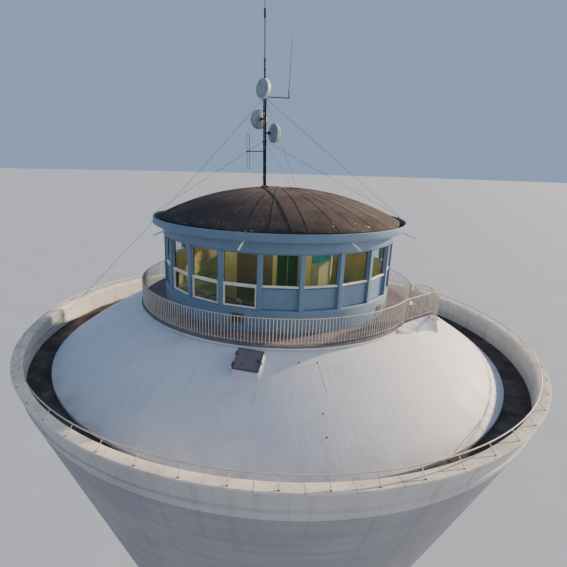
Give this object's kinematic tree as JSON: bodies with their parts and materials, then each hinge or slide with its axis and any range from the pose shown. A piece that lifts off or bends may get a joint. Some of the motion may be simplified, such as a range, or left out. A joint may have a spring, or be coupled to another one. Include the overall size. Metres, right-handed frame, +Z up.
{
  "type": "water tower, 1:2 scale model",
  "caption": "Half-size inverted-cone concrete water tower: flared shaft on a round foundation, white domed cover, glazed blue room with railed deck, and a stayed aerial mast on its roof.",
  "frame": {"origin": "centre of the shaft's foot, on the ground", "axes": "+Z up the tower, -Y towards the side that the picture shows, +X to the right of that view"},
  "size_m": [13, 13, 34.5],
  "materials": {
    "concrete": "cast concrete with board marks and weathering",
    "coping_stone": "pale weathered coping",
    "white_cover": "white weatherproof coating, softly stained",
    "bitumen": "dark bitumen felt",
    "roof_felt": "brown mineral felt with lichen",
    "blue_paint": "pale blue satin paint",
    "white_paint": "white paint",
    "glass": "clear window glass",
    "galvanised": "weathered galvanised steel",
    "dark_steel": "dark weathered steel",
    "lid_grey": "dark grey paint",
    "dish_grey": "grey moulded shell",
    "plaster": "pale yellow painted plaster",
    "door_green": "dark green paint",
    "vent_brown": "brown paint"
  },
  "bodies": {
    "tower": {"shaft_wall_1": "concrete", "shaft_wall_2": "concrete", "shaft_wall_3": "concrete", "shaft_wall_4": "concrete", "entrance_door": "door_green", "foundation_ring": "concrete", "ground_floor": "concrete", "tank_wall": "concrete", "tank_floor": "concrete", "parapet_front": "concrete", "parapet_right_near": "concrete", "parapet_right": "concrete", "parapet_right_far": "concrete", "parapet_back": "concrete", "parapet_left": "concrete", "coping": "coping_stone", "gutter_floor": "bitumen", "parapet_rail": "galvanised", "dome_cover_front": "white_cover", "dome_cover_right": "white_cover", "dome_cover_back": "white_cover", "dome_cover_left": "white_cover", "hatch_kerb": "white_paint", "hatch_catch": "dark_steel", "deck_slab": "concrete", "balcony_platform": "concrete", "deck_railing": "galvanised", "balcony_railing": "galvanised", "balcony_inner_railing": "galvanised", "room_base_wall": "blue_paint", "window_frame": "blue_paint", "lower_glazing": "glass", "lower_panels": "blue_paint", "upper_glazing": "glass", "upper_band": "blue_paint", "eave_gutter": "blue_paint", "roof_dome": "roof_felt", "roof_hatch": "white_paint", "vent_grille": "vent_brown", "vent_cover": "vent_brown", "core_wall": "plaster", "core_door": "door_green", "mast_foot": "dark_steel", "mast_lattice": "dark_steel", "mast_pole": "dark_steel", "dish_front": "dish_grey", "dish_left": "dish_grey", "dish_right": "dish_grey", "right_antenna": "dark_steel", "left_antenna": "dark_steel", "stay_upper_left": "galvanised", "stay_upper_right": "galvanised", "stay_upper_back": "galvanised", "stay_lower_left": "galvanised", "stay_lower_right": "galvanised", "stay_lower_back": "galvanised"},
    "hatch_lid_body": {"hatch_lid": "lid_grey", "hatch_handle": "dark_steel"}
  },
  "joints": [
    {"name": "hatch_lid_hinge", "type": "hinge", "parent": "tower", "child": "hatch_lid_body", "pos_m": [-0.71098, -3.92383, 26.71037], "axis": [-0.1783, -0.8854, -0.4292], "range_deg": [0, 100]}
  ]
}
